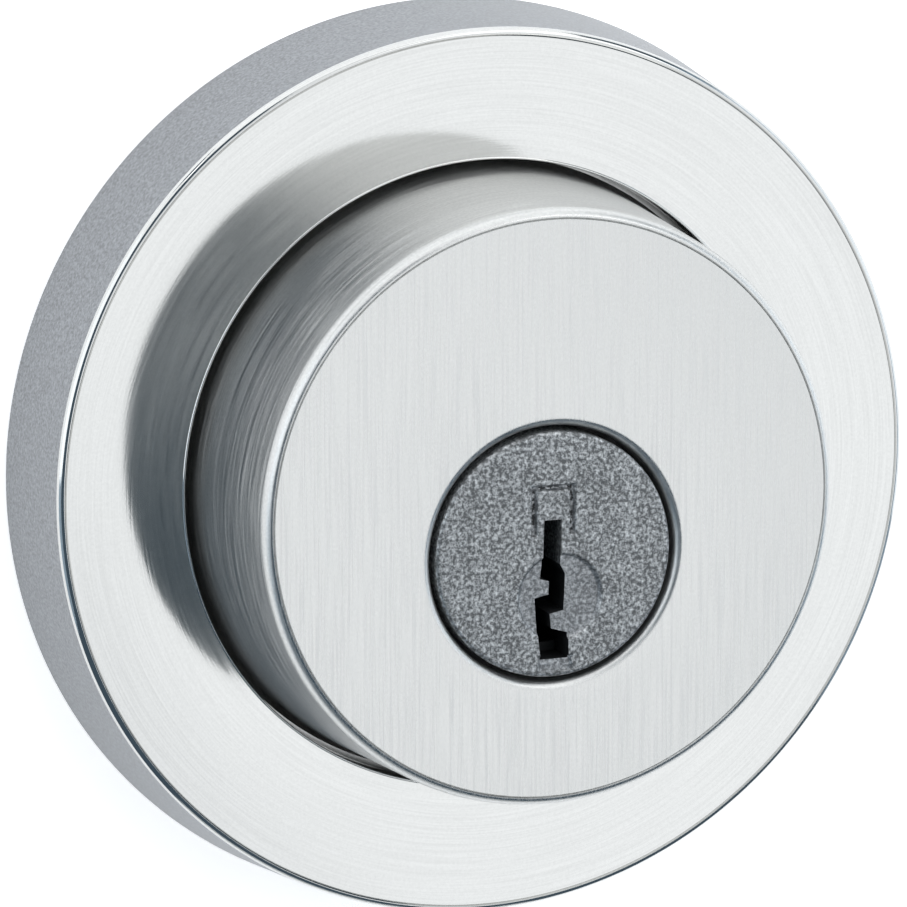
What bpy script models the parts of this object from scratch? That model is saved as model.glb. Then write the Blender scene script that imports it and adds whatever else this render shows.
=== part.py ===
"""Tubular deadbolt lockset: exterior trim with its pin-tumbler cylinder, latch and thumbturn.

Metres, +Z up. The lock turns about the Y axis. The exterior side faces -Y, the interior side
faces +Y, the door's exterior face is y = 0, and the bolt throws towards -X. At rest the bolt
is retracted and the thumbturn stands upright.
"""

import math

import bmesh
import bpy
from mathutils import Matrix, Vector

# Door and lock standards
DOOR_THICKNESS = 0.04445
BACKSET = 0.0603
BOLT_THROW = 0.0254
LATCH_Y = DOOR_THICKNESS / 2
GAP = 0.0003

# Trim: the same dished rose on both sides. The exterior one sits a little above the turning axis,
# because the pin chambers stand above the plug
TRIM_Z = 0.00305
ROSE_RADIUS = 0.0320
ROSE_RIM_RADIUS = 0.0310
ROSE_HEIGHT = 0.0093
ROSE_HOLE_RADIUS = 0.0219
ROSE_DISH = 0.00065
ROSE_WALL = 0.0018
RIM_ROUND = 0.0008

COLLAR_BASE_RADIUS = 0.02125
COLLAR_FACE_RADIUS = 0.02045
COLLAR_HEIGHT = 0.02106
COLLAR_WALL = 0.0025
COLLAR_FLANGE_RADIUS = 0.0245
COLLAR_ROUND = 0.0006
BORE_RADIUS = 0.00877

BASE_RADIUS = 0.0292
BASE_THICKNESS = 0.0034
SCREW_X = 0.0190
POST_RADIUS = 0.0032
POST_END = 0.0129
SCREW_RADIUS = 0.0020

# Cylinder
PLUG_FACE_RADIUS = 0.00843
PLUG_RADIUS = 0.00635
PLUG_CHAMFER = 0.0005
HOUSING_RADIUS = 0.0110
HOUSING_FRONT = -0.0183
HOUSING_BACK = 0.0055
BIBLE_WIDTH = 0.0095
BIBLE_TOP = 0.0200
KEYWAY_DEPTH = 0.0250
PIN_COUNT = 5
PIN_PITCH = 0.00396
FIRST_PIN_Y = -0.0138
PIN_RADIUS = 0.0013
CHAMBER_FLOOR = -0.0026
KEY_PIN_LENGTHS = (0.0042, 0.0055, 0.0063, 0.0048, 0.0059)
DRIVER_LENGTH = 0.0046
SPRING_TOP = 0.0187
SPRING_TURNS = 4
SPRING_WIRE = 0.00022

# Tailpiece and its quarter turn of lost motion in the plug
SPIGOT_RADIUS = 0.0050
SPIGOT_END = 0.0080
CAP_RADIUS = 0.0076
CAP_END = 0.0106
LUG_INNER, LUG_OUTER = 0.0036, 0.0047
LUG_HALF_ANGLE = math.radians(12)
LUG_START = math.radians(-45)
TAIL_WIDTH, TAIL_THICKNESS = 0.0062, 0.0019
TAIL_END = DOOR_THICKNESS + 0.0020

# Latch: a crank of this radius moves the bolt by its throw in a quarter turn
CRANK_RADIUS = BOLT_THROW / math.sqrt(2)
CRANK_PIN_RADIUS = 0.0018
CRANK_HUB_RADIUS = 0.0062
TUBE_RADIUS, TUBE_BORE_RADIUS = 0.01225, 0.01115
TUBE_END_X = -0.0280
BOLT_RADIUS = 0.0108
BOLT_HALF_THICKNESS = 0.0070
BOLT_BACK_X = -0.0260
FACEPLATE_LENGTH, FACEPLATE_WIDTH = 0.05715, 0.0254
FACEPLATE_THICKNESS = 0.0016
FACEPLATE_SCREW_Z = 0.02065
CASE_INNER, CASE_OUTER = 0.0074, 0.0089
CASE_HALF_HEIGHT = 0.0130
CASE_LOBE_RADIUS = 0.0255
BAR_NEAR, BAR_FAR = 0.0022, 0.0042
BAR_TOP, BAR_BOTTOM = -0.0066, -0.0098
SLOT_HALF_WIDTH = 0.0027
SPACERS = ((-0.0225, 0.0095), (0.0215, 0.0095), (0.0215, -0.0095))
SPACER_RADIUS = 0.0015

# Interior side, measured inwards from the door's interior face
PLATE_RADIUS = 0.0285
PLATE_THICKNESS = 0.0020
TURN_SHAFT_RADIUS = 0.0065
TURN_DISC_BACK = 0.0052
TURN_DISC_FRONT = 0.0135
PADDLE_TOP = 0.0300
PADDLE_LENGTH, PADDLE_WIDTH = 0.0350, 0.0078

STEPS = 48


# ---------------------------------------------------------------- helpers


def finish(name, colour, roughness, metallic):
    """A Principled material of one colour (linear RGB)."""
    material = bpy.data.materials.new(name)
    material.use_nodes = True
    shader = material.node_tree.nodes["Principled BSDF"]
    shader.inputs["Base Color"].default_value = (*colour, 1)
    shader.inputs["Roughness"].default_value = roughness
    shader.inputs["Metallic"].default_value = metallic
    return material


def piece(name, shape, material, place=(0, 0, 0), turn_y=0):
    """One named object made from a bmesh, shaded smooth between its sharp edges."""
    bmesh.ops.recalc_face_normals(shape, faces=shape.faces)
    mesh = bpy.data.meshes.new(name)
    shape.to_mesh(mesh)
    shape.free()
    mesh.shade_smooth()
    mesh.set_sharp_from_angle(angle=math.radians(30))
    part = bpy.data.objects.new(name, mesh)
    part.location = place
    part.rotation_euler.y = turn_y
    bpy.context.scene.collection.objects.link(part)
    if material:
        mesh.materials.append(material)
    return part


def turned(outline, steps=STEPS):
    """A solid turned about the Y axis from a closed outline of (radius, y) points."""
    shape = bmesh.new()
    rings = []
    for radius, y in outline:
        count = steps if radius else 1
        turns = [2 * math.pi * step / steps for step in range(count)]
        rings.append([shape.verts.new((radius * math.cos(a), y, radius * math.sin(a))) for a in turns])
    for ring, after in zip(rings, rings[1:] + rings[:1]):
        for step in range(steps):
            around = [ring[step % len(ring)], ring[(step + 1) % steps % len(ring)]]
            around += [after[(step + 1) % steps % len(after)], after[step % len(after)]]
            corners = list(dict.fromkeys(around))
            if len(corners) > 2:
                shape.faces.new(corners)
    return shape


def prism(outline, start, end, axis="Y"):
    """A solid between two planes across axis. Its outline is (x, z), or (y, z) where axis is X."""
    shape = bmesh.new()
    along = Vector((0, 1, 0)) if axis == "Y" else Vector((1, 0, 0))
    across = Vector((1, 0, 0)) if axis == "Y" else Vector((0, 1, 0))
    corners = [shape.verts.new(across * u + Vector((0, 0, v)) + along * start) for u, v in outline]
    face = shape.faces.new(corners)
    grown = bmesh.ops.extrude_face_region(shape, geom=[face])["geom"]
    moved = [item for item in grown if isinstance(item, bmesh.types.BMVert)]
    bmesh.ops.translate(shape, verts=moved, vec=along * (end - start))
    return shape


def arc(centre, radius, start, end, count):
    """Points along an arc, its angles in degrees."""
    turns = [math.radians(start + (end - start) * i / count) for i in range(count + 1)]
    return [(centre[0] + radius * math.cos(a), centre[1] + radius * math.sin(a)) for a in turns]


def circle(radius, steps=32, centre=(0, 0)):
    return arc(centre, radius, 0, 360, steps)[:-1]


def box(half_u, low, high):
    return [(-half_u, low), (half_u, low), (half_u, high), (-half_u, high)]


def combine(part, other, operation):
    """Adds or removes another object, which then becomes a hidden guide."""
    other.hide_render = True
    other.display_type = "WIRE"
    boolean = part.modifiers.new(other.name, "BOOLEAN")
    boolean.operation = operation
    boolean.solver = "EXACT"
    boolean.object = other
    return part


def cut(part, shape, place=(0, 0, 0), turn_y=0):
    return combine(part, piece(f"{part.name}_cutter", shape, None, place, turn_y), "DIFFERENCE")


def join(part, shape, place=(0, 0, 0), turn_y=0):
    return combine(part, piece(f"{part.name}_addition", shape, None, place, turn_y), "UNION")


def mirrored(outline):
    """An exterior outline of (radius, y) carried to the interior side of the door."""
    return [(radius, DOOR_THICKNESS - y) for radius, y in outline]


def inside(distance):
    """The y of a point this far in front of the door's interior face."""
    return DOOR_THICKNESS + distance


# ---------------------------------------------------------------- trim and cylinder


def rose_outline():
    """A cup with a tapered wall, a small rounded rim and a face that dips towards its hole."""
    rim = (ROSE_RIM_RADIUS - RIM_ROUND, -ROSE_HEIGHT + RIM_ROUND)
    hole_y = -ROSE_HEIGHT + ROSE_DISH
    return [
        (ROSE_RADIUS, 0),
        *arc(rim, RIM_ROUND, 0, -90, 4),
        (ROSE_HOLE_RADIUS + GAP, hole_y),
        (ROSE_HOLE_RADIUS, hole_y + GAP),
        (ROSE_HOLE_RADIUS, hole_y + ROSE_WALL),
        (ROSE_RIM_RADIUS - ROSE_WALL, -ROSE_HEIGHT + ROSE_WALL),
        (ROSE_RADIUS - ROSE_WALL, 0),
    ]


def collar_outline():
    """A tapered cup closed by the face, with a flange that the rose holds down."""
    lip = (COLLAR_FACE_RADIUS - COLLAR_ROUND, -COLLAR_HEIGHT + COLLAR_ROUND)
    flange_front = -0.0056
    flange_back = -BASE_THICKNESS - GAP
    inner_radius = COLLAR_BASE_RADIUS - COLLAR_WALL
    return [
        (COLLAR_FLANGE_RADIUS, flange_back),
        (COLLAR_FLANGE_RADIUS, flange_front),
        (COLLAR_BASE_RADIUS + GAP, flange_front),
        *arc(lip, COLLAR_ROUND, 0, -90, 4),
        (0, -COLLAR_HEIGHT),
        (0, -COLLAR_HEIGHT + COLLAR_WALL),
        (inner_radius, -COLLAR_HEIGHT + COLLAR_WALL),
        (inner_radius, flange_back),
    ]


def housing_section(grow=0):
    """The barrel around the plug and the straight-sided block of pin chambers above it."""
    half = BIBLE_WIDTH / 2 + grow
    radius = HOUSING_RADIUS + grow
    meet = math.degrees(math.acos(half / radius))
    top = BIBLE_TOP + grow
    return [(half, top), (-half, top), *arc((0, 0), radius, 180 - meet, 360 + meet, 28)]


def keyway_section():
    """The zigzag slot that the key blade runs in, as (x, z)."""
    millimetres = [
        (-0.70, 2.4), (0.55, 2.4), (0.55, -0.75), (0.90, -1.4), (0.80, -3.9), (-0.20, -4.1),
        (-0.10, -5.1), (1.05, -5.45), (1.10, -7.2), (-0.92, -7.2), (-1.10, -5.85), (-1.30, -2.95),
        (-0.30, -2.75), (-0.26, -1.85), (-0.92, -1.65), (-0.80, -0.7),
    ]
    return [(x * 0.001, z * 0.001) for x, z in millimetres]


def pin_places():
    return [FIRST_PIN_Y + PIN_PITCH * number for number in range(PIN_COUNT)]


def standing(outline, steps=16):
    """A solid turned about the Z axis from (radius, z) points."""
    shape = turned(outline, steps)
    bmesh.ops.rotate(shape, verts=shape.verts, matrix=Matrix.Rotation(math.pi / 2, 3, "X"))
    return shape


def chamber_cutter():
    """The drilling for one pin stack, through both the housing and the plug."""
    radius = PIN_RADIUS + GAP
    top = SPRING_TOP + GAP * 2
    return standing([(0, CHAMBER_FLOOR), (radius, CHAMBER_FLOOR), (radius, top), (0, top)], 12)


def sector(inner, outer, start, end, count):
    """The outline of a ring sector, its angles in radians."""
    low, high = math.degrees(start), math.degrees(end)
    return arc((0, 0), outer, low, high, count) + arc((0, 0), inner, high, low, count)


def make_exterior_trim(satin, black, steel):
    centre = (0, 0, TRIM_Z)
    piece("exterior_rose", turned(rose_outline()), satin, centre)

    collar = piece("cylinder_collar", turned(collar_outline()), satin, centre)
    cut(collar, prism(circle(BORE_RADIUS, 36), -0.024, -0.015))

    base = turned([(0, 0), (BASE_RADIUS, 0), (BASE_RADIUS, -BASE_THICKNESS), (0, -BASE_THICKNESS)], 48)
    base = piece("exterior_base", base, black, centre)
    cut(base, prism(housing_section(GAP * 1.5), -0.005, 0.002))
    for side in (-SCREW_X, SCREW_X):
        join(base, prism(circle(POST_RADIUS, 20, (side, 0)), -0.0015, POST_END))
        cut(base, prism(circle(SCREW_RADIUS + GAP, 16, (side, 0)), 0.0030, POST_END + 0.001))

    clip = sector(0.0104, 0.0147, math.radians(125), math.radians(415), 28)
    piece("cylinder_clip", prism(clip, GAP, 0.0014), steel)


def make_cylinder(black, cast, steel):
    housing = piece("cylinder_housing", prism(housing_section(), HOUSING_FRONT, HOUSING_BACK), black)
    cut(housing, prism(circle(PLUG_RADIUS + GAP, 40), -0.019, 0.006))
    cut(housing, prism(box(0.0026, SPRING_TOP + GAP, 0.021), -0.0165, 0.0045))
    groove = prism(sector(0.0100, 0.0120, math.radians(115), math.radians(425), 24), 0, 0.0017)
    cut(housing, groove)

    front = -COLLAR_HEIGHT
    outline = [
        (0, front), (PLUG_FACE_RADIUS - PLUG_CHAMFER, front),
        (PLUG_FACE_RADIUS, front + PLUG_CHAMFER), (PLUG_FACE_RADIUS, HOUSING_FRONT - GAP),
        (PLUG_RADIUS, HOUSING_FRONT - GAP), (PLUG_RADIUS, HOUSING_BACK + GAP),
        (SPIGOT_RADIUS, HOUSING_BACK + GAP), (SPIGOT_RADIUS, SPIGOT_END), (0, SPIGOT_END),
    ]
    plug = piece("plug", turned(outline, 36), cast)
    cut(plug, prism(keyway_section(), front - 0.001, front + KEYWAY_DEPTH))
    lug = sector(LUG_INNER, LUG_OUTER, LUG_START - LUG_HALF_ANGLE, LUG_START + LUG_HALF_ANGLE, 3)
    join(plug, prism(lug, SPIGOT_END - 0.0005, SPIGOT_END + 0.0012))

    for y in pin_places():
        cut(housing, chamber_cutter(), (0, y, 0))
        cut(plug, chamber_cutter(), (0, y, 0))

    cap = [
        (SPIGOT_RADIUS + GAP, HOUSING_BACK + GAP * 2), (CAP_RADIUS, HOUSING_BACK + GAP * 2),
        (CAP_RADIUS, CAP_END), (SPIGOT_RADIUS - 0.0014, CAP_END),
        (SPIGOT_RADIUS - 0.0014, CAP_END - 0.0009), (SPIGOT_RADIUS + GAP, CAP_END - 0.0009),
    ]
    piece("plug_cap", turned(cap, 28), steel)
    cover = prism(box(0.0023, SPRING_TOP + GAP * 2, BIBLE_TOP - 0.0001), -0.0162, 0.0042)
    piece("spring_cover", cover, steel)


def make_pin_stacks(brass, steel):
    """A key pin, a driver pin and a spring over it for each chamber, meeting at the shear line."""
    tip = 0.0006
    for number, (y, length) in enumerate(zip(pin_places(), KEY_PIN_LENGTHS), start=1):
        place = (0, y, 0)
        low, high = PLUG_RADIUS - length, PLUG_RADIUS - GAP
        key_pin = [
            (0, low), (PIN_RADIUS - tip, low), (PIN_RADIUS, low + tip), (PIN_RADIUS, high), (0, high),
        ]
        piece(f"key_pin_{number}", standing(key_pin, 12), brass, place)
        bottom, top = PLUG_RADIUS + GAP, PLUG_RADIUS + GAP + DRIVER_LENGTH
        driver = [(0, bottom), (PIN_RADIUS, bottom), (PIN_RADIUS, top), (0, top)]
        piece(f"driver_pin_{number}", standing(driver, 12), brass, place)
        coil = helix_spring(PIN_RADIUS - GAP, top + GAP * 2, SPRING_TOP - GAP)
        piece(f"pin_spring_{number}", coil, steel, place)


def helix_spring(radius, low, high):
    """A round-wire coil about the Z axis, its wire swept with four sides."""
    shape = bmesh.new()
    steps_per_turn, sides = 8, 4
    rings = []
    for step in range(SPRING_TURNS * steps_per_turn + 1):
        turn = 2 * math.pi * step / steps_per_turn
        z = low + (high - low) * step / (SPRING_TURNS * steps_per_turn)
        outward = Vector((math.cos(turn), math.sin(turn), 0))
        ring = []
        for side in range(sides):
            angle = 2 * math.pi * side / sides
            offset = outward * math.cos(angle) + Vector((0, 0, math.sin(angle)))
            ring.append(shape.verts.new(outward * radius + Vector((0, 0, z)) + offset * SPRING_WIRE))
        rings.append(ring)
    for ring, after in zip(rings, rings[1:]):
        for side in range(sides):
            nearby = (side + 1) % sides
            shape.faces.new((ring[side], ring[nearby], after[nearby], after[side]))
    shape.faces.new(rings[0])
    shape.faces.new(rings[-1])
    return shape


def make_tailpiece(steel):
    """A flat bar whose round head has a notch, where the plug's lug swings a quarter turn."""
    spare = math.radians(5) + LUG_HALF_ANGLE
    low, high = LUG_START - spare, LUG_START + math.pi / 2 + spare
    inner, outer = SPIGOT_RADIUS - 0.0017, SPIGOT_RADIUS - GAP
    head = arc((0, 0), outer, math.degrees(high), math.degrees(low) + 360, 24)
    head += arc((0, 0), inner, math.degrees(low) + 360, math.degrees(high), 24)[:1]
    head += arc((0, 0), inner, math.degrees(low), math.degrees(high), 12)
    head_start = SPIGOT_END + GAP
    tailpiece = piece("tailpiece", prism(dedupe(head), head_start, head_start + 0.0011), steel)
    bar = prism(box(TAIL_THICKNESS / 2, -TAIL_WIDTH / 2, TAIL_WIDTH / 2), head_start + 0.0004, TAIL_END)
    join(tailpiece, bar)


def dedupe(outline):
    """The outline without points that repeat the one before."""
    kept = []
    for point in outline:
        if not kept or math.dist(point, kept[-1]) > 1e-6:
            kept.append(point)
    return kept


# ---------------------------------------------------------------- latch


def lying(outline, steps=24):
    """A solid turned about the X axis from (radius, x) points."""
    shape = turned(outline, steps)
    bmesh.ops.rotate(shape, verts=shape.verts, matrix=Matrix.Rotation(-math.pi / 2, 3, "Z"))
    return shape


def rounded_plate(length, width, radius):
    """A plate outline as (y, z) with rounded corners, centred on the latch."""
    y, z = width / 2 - radius, length / 2 - radius
    corners = [((y, z), 0), ((-y, z), 90), ((-y, -z), 180), ((y, -z), 270)]
    return [point for centre, start in corners for point in arc(centre, radius, start, start + 90, 6)]


def bolt_section(grow=0):
    """A round bar with its two sides cut flat, as (y, z)."""
    radius, half = BOLT_RADIUS + grow, BOLT_HALF_THICKNESS + grow
    meet = math.degrees(math.acos(half / radius))
    return arc((0, 0), radius, meet, 180 - meet, 10) + arc((0, 0), radius, 180 + meet, 360 - meet, 10)


def make_latch_front(satin, steel):
    centre = (0, LATCH_Y, 0)
    front = -BACKSET
    middle = front + FACEPLATE_THICKNESS
    back = middle + GAP + 0.0014
    outline = rounded_plate(FACEPLATE_LENGTH, FACEPLATE_WIDTH, 0.0060)
    face = piece("latch_faceplate", prism(outline, front, middle, "X"), satin, centre)
    cut(face, prism(bolt_section(GAP), front - 0.001, middle + 0.001, "X"), centre)
    backplate = piece("latch_backplate", prism(outline, middle + GAP, back, "X"), steel, centre)
    cut(backplate, prism(bolt_section(GAP), middle, back + 0.001, "X"), centre)
    head_radius, head_depth, shank = 0.0037, 0.0021, 0.0019
    hole, beyond = shank + GAP, 0.004
    countersink = [
        (0, -0.001), (head_radius + GAP + 0.001, -0.001), (hole, head_depth), (hole, beyond), (0, beyond),
    ]
    screw = [
        (0, 0.0001), (head_radius, 0.0001), (shank, head_depth), (shank, 0.0150), (0.0004, 0.0190),
        (0, 0.0190),
    ]
    for side, name in ((1, "upper"), (-1, "lower")):
        place = (front, LATCH_Y, side * FACEPLATE_SCREW_Z)
        cut(face, lying(countersink), place)
        cut(backplate, lying(countersink), place)
        piece(f"faceplate_screw_{name}", lying(screw), steel, place)
    tube_front = back + GAP
    tube = [
        (TUBE_BORE_RADIUS, tube_front), (TUBE_RADIUS, tube_front),
        (TUBE_RADIUS, TUBE_END_X), (TUBE_BORE_RADIUS, TUBE_END_X),
    ]
    piece("latch_tube", lying(tube, 48), steel, centre)


def make_bolt(satin, steel):
    centre = (0, LATCH_Y, 0)
    bolt = piece("bolt", prism(bolt_section(), -BACKSET, BOLT_BACK_X, "X"), satin, centre)
    rod_hole, open_end = 0.0028, BOLT_BACK_X + 0.001
    cut(bolt, lying([(0, -0.0575), (rod_hole, -0.0575), (rod_hole, open_end), (0, open_end)]), centre)
    rod = [(0, -0.0570), (0.0024, -0.0570), (0.0025, -0.0565), (0.0025, -0.0300), (0, -0.0300)]
    piece("anti_saw_pin", lying(rod), steel, centre)

    notch = [(BAR_NEAR - GAP, BAR_BOTTOM - 0.002), (BAR_FAR + GAP, BAR_BOTTOM - 0.002)]
    notch += [(BAR_FAR + GAP, BAR_TOP + GAP), (BAR_NEAR - GAP, BAR_TOP + GAP)]
    cut(bolt, prism(notch, -0.0330, open_end, "X"), centre)
    rivet_x, rivet_z, rivet_radius = -0.0295, (BAR_TOP + BAR_BOTTOM) / 2, 0.0008
    rivet_hole = circle(rivet_radius + GAP, 12, (rivet_x, rivet_z))
    cut(bolt, prism(rivet_hole, -0.0005, 0.0080), centre)

    leg_x = CRANK_RADIUS * math.sin(math.pi / 4)
    leg_half = SLOT_HALF_WIDTH + 0.0014
    foot_z = -CRANK_RADIUS
    outline = [(-0.0325, BAR_TOP), (-0.0325, BAR_BOTTOM), (leg_x - leg_half, BAR_BOTTOM)]
    outline += arc((leg_x, foot_z), leg_half, 180, 360, 10) + [(leg_x + leg_half, BAR_TOP)]
    bar = piece("draw_bar", prism(outline, BAR_NEAR, BAR_FAR), steel, centre)
    slot_top = BAR_BOTTOM - 0.0006
    slot = arc((leg_x, foot_z), SLOT_HALF_WIDTH, 180, 360, 8)
    slot += [(leg_x + SLOT_HALF_WIDTH, slot_top), (leg_x - SLOT_HALF_WIDTH, slot_top)]
    cut(bar, prism(slot, BAR_NEAR - 0.001, BAR_FAR + 0.001), centre)
    cut(bar, prism(rivet_hole, BAR_NEAR - 0.001, BAR_FAR + 0.001), centre)
    rivet = circle(rivet_radius, 12, (rivet_x, rivet_z))
    piece("draw_bar_pin", prism(rivet, 0.0002, 0.0068), steel, centre)


def make_crank(steel):
    """The hub that the tailpiece turns, with an arm whose pin drives the draw bar's slot."""
    quarter = -math.pi / 4
    centre = (0, LATCH_Y, 0)
    reach = CASE_OUTER + 0.0008
    hub = prism(circle(CRANK_HUB_RADIUS, 32), -reach, reach)
    crank = piece("bolt_crank", hub, steel, centre, quarter)
    arm = [(-0.0050, 0), *arc((0, -CRANK_RADIUS), 0.0029, 180, 360, 8), (0.0050, 0)]
    join(crank, prism(arm, -0.0015, 0.0015), centre, quarter)
    pin = prism(circle(CRANK_PIN_RADIUS, 16, (0, -CRANK_RADIUS)), 0.0005, BAR_FAR + 0.0005)
    join(crank, pin, centre, quarter)
    slot = box(TAIL_THICKNESS / 2 + GAP, -TAIL_WIDTH / 2 - GAP, TAIL_WIDTH / 2 + GAP)
    cut(crank, prism(slot, -reach - 0.001, reach + 0.001), centre)


def make_case(steel):
    """Two plates that carry the crank, with tongues that reach into the latch tube."""
    tongue_x, tongue_z, lobe_z = -0.0400, 0.0060, 0.0100
    shoulder_x, far_x = TUBE_END_X + GAP, 0.0245
    side = math.degrees(math.asin(lobe_z / CASE_LOBE_RADIUS))
    outline = [(tongue_x, tongue_z), (tongue_x, -tongue_z), (shoulder_x, -tongue_z), (shoulder_x, -lobe_z)]
    outline += arc((0, 0), CASE_LOBE_RADIUS, 180 + side, 360 - side, 24)
    outline += [(far_x, CASE_HALF_HEIGHT), (shoulder_x, CASE_HALF_HEIGHT), (shoulder_x, tongue_z)]
    centre = (0, LATCH_Y, 0)
    sides = (("outer", -CASE_OUTER, -CASE_INNER), ("inner", CASE_INNER, CASE_OUTER))
    for name, low, high in sides:
        plate = piece(f"latch_case_{name}", prism(outline, low, high), steel, centre)
        holes = [circle(CRANK_HUB_RADIUS + GAP, 32)]
        holes += [circle(SCREW_RADIUS + 0.0006, 20, (x, 0)) for x in (-SCREW_X, SCREW_X)]
        for hole in holes:
            cut(plate, prism(hole, low - 0.001, high + 0.001), centre)
    for number, place in enumerate(SPACERS, start=1):
        post = prism(circle(SPACER_RADIUS, 12, place), -CASE_INNER + GAP, CASE_INNER - GAP)
        piece(f"case_spacer_{number}", post, steel, centre)
    leaf = [
        (-0.0190, 0.0079), (-0.0190, 0.0073), (-0.0060, 0.0066), (0.0060, 0.0066),
        (0.0190, 0.0073), (0.0190, 0.0079), (0.0060, 0.0072), (-0.0060, 0.0072),
    ]
    piece("detent_spring", prism(leaf, -0.0065, -0.0025), steel, centre)


# ---------------------------------------------------------------- interior side


def make_interior_fixings(steel, nylon):
    plate_outline = circle(PLATE_RADIUS, 48)
    plate = piece("mounting_plate", prism(plate_outline, inside(0), inside(PLATE_THICKNESS)), steel)
    cut(plate, prism(circle(0.0090, 32), inside(-0.001), inside(0.003)))
    lug_z = -PLATE_RADIUS
    lug = box(0.0035, lug_z + 0.0002, lug_z + 0.0032)
    join(plate, prism(lug, inside(PLATE_THICKNESS - 0.0005), inside(0.0068)))
    drilling = standing([(0, -0.004), (0.0013, -0.004), (0.0013, 0.005), (0, 0.005)])
    cut(plate, drilling, (0, inside(0.0045), lug_z))

    head, shank_end, head_radius = inside(PLATE_THICKNESS + GAP), 0.0060, 0.0036
    head_top = head + 0.0020
    for name, x in (("left", -SCREW_X), ("right", SCREW_X)):
        cut(plate, prism(circle(SCREW_RADIUS + 0.0006, 20, (x, 0)), inside(-0.001), inside(0.003)))
        screw = [
            (0, shank_end), (SCREW_RADIUS - 0.0004, shank_end), (SCREW_RADIUS, shank_end + 0.0008),
            (SCREW_RADIUS, head), (head_radius, head), (head_radius, head + 0.0012),
            (head_radius - 0.0010, head_top), (0, head_top),
        ]
        screw = piece(f"mounting_screw_{name}", turned(screw, 20), steel, (x, 0, 0))
        for spread in (0, math.pi / 2):
            recess = prism(box(0.0003, -0.0017, 0.0017), head + 0.0010, head + 0.0030)
            cut(screw, recess, (x, 0, 0), spread)

    bushing = [
        (TURN_SHAFT_RADIUS + GAP, inside(-0.0004)), (0.0087, inside(-0.0004)), (0.0087, inside(0.0023)),
        (0.0105, inside(0.0023)), (0.0105, inside(0.0033)), (TURN_SHAFT_RADIUS + GAP, inside(0.0033)),
    ]
    piece("turn_bushing", turned(bushing, 24), nylon)
    inner, outer, low, high = 0.0070, 0.0100, inside(0.0040), inside(0.0044)
    washer = turned([(inner, low), (outer, low), (outer, high), (inner, high)], 36)
    for corner in washer.verts:
        corner.co.y += 0.0003 * math.sin(3 * math.atan2(corner.co.z, corner.co.x))
    piece("turn_wave_washer", washer, steel)
    clip = sector(0.0057, 0.0090, math.radians(120), math.radians(420), 24)
    piece("turn_retaining_clip", prism(clip, inside(-0.0018), inside(-0.0007)), steel)


def make_thumbturn(satin):
    """A round hub with an upright grip, and a slotted shaft that takes the tailpiece."""
    back, front = inside(TURN_DISC_BACK), inside(TURN_DISC_FRONT)
    shaft_end = inside(-0.0030)
    groove = 0.0054
    shaft = [
        (0, shaft_end), (TURN_SHAFT_RADIUS, shaft_end), (TURN_SHAFT_RADIUS, inside(-0.0021)),
        (groove, inside(-0.0021)), (groove, inside(-0.0004)), (TURN_SHAFT_RADIUS, inside(-0.0004)),
        (TURN_SHAFT_RADIUS, back), (0, back),
    ]
    edge = 0.0008
    rim = arc((COLLAR_FACE_RADIUS - edge, front - edge), edge, 0, 90, 4)
    disc = [(COLLAR_BASE_RADIUS, back), *rim, (0, front)]
    hub = piece("thumbturn", turned(shaft[:-1] + disc), satin)
    centre_to_end = PADDLE_LENGTH / 2 - PADDLE_WIDTH / 2
    outline = arc((0, centre_to_end), PADDLE_WIDTH / 2, 0, 180, 12)
    outline += arc((0, -centre_to_end), PADDLE_WIDTH / 2, 180, 360, 12)
    grip_shape = prism(outline, front - 0.0010, inside(PADDLE_TOP))
    end = inside(PADDLE_TOP) - 1e-5
    top = [line for line in grip_shape.edges if min(v.co.y for v in line.verts) > end]
    bmesh.ops.bevel(grip_shape, geom=top, offset=0.0012, segments=3, profile=0.5, affect="EDGES")
    join(hub, grip_shape)
    slot = box(TAIL_THICKNESS / 2 + GAP, -TAIL_WIDTH / 2 - GAP, TAIL_WIDTH / 2 + GAP)
    cut(hub, prism(slot, shaft_end - 0.001, inside(0.0035)))


def make_interior_rose(satin, steel):
    rose = piece("interior_rose", turned(mirrored(rose_outline())), satin)
    screw_y = inside(0.0045)
    wall_z = -ROSE_RADIUS
    drilling = standing([(0, -0.001), (0.0015, -0.001), (0.0015, 0.004), (0, 0.004)])
    cut(rose, drilling, (0, screw_y, wall_z))
    screw = standing([(0, 0.0010), (0.0010, 0.0010), (0.0010, 0.0062), (0, 0.0062)], 12)
    piece("rose_set_screw", screw, steel, (0, screw_y, wall_z))


def main():
    for old in list(bpy.data.objects):
        bpy.data.objects.remove(old)
    satin = finish("satin_chrome", (0.62, 0.64, 0.65), 0.32, 1)
    steel = finish("zinc_plated_steel", (0.52, 0.53, 0.55), 0.4, 1)
    brass = finish("machined_brass", (0.62, 0.45, 0.20), 0.35, 1)
    cast = finish("cast_plug_metal", (0.24, 0.26, 0.27), 0.55, 1)
    black = finish("black_zinc_casting", (0.02, 0.02, 0.022), 0.6, 0)
    nylon = finish("white_nylon", (0.75, 0.75, 0.72), 0.5, 0)
    make_exterior_trim(satin, black, steel)
    make_cylinder(black, cast, steel)
    make_pin_stacks(brass, steel)
    make_tailpiece(steel)
    make_latch_front(satin, steel)
    make_bolt(satin, steel)
    make_crank(steel)
    make_case(steel)
    make_interior_fixings(steel, nylon)
    make_thumbturn(satin)
    make_interior_rose(satin, steel)


main()
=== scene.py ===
"""Deadbolt lockset: finished shapes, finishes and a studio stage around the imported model.

Metres, +Z up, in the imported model's own frame. The lock turns about the Y axis and its
exterior side faces -Y.
"""

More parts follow.
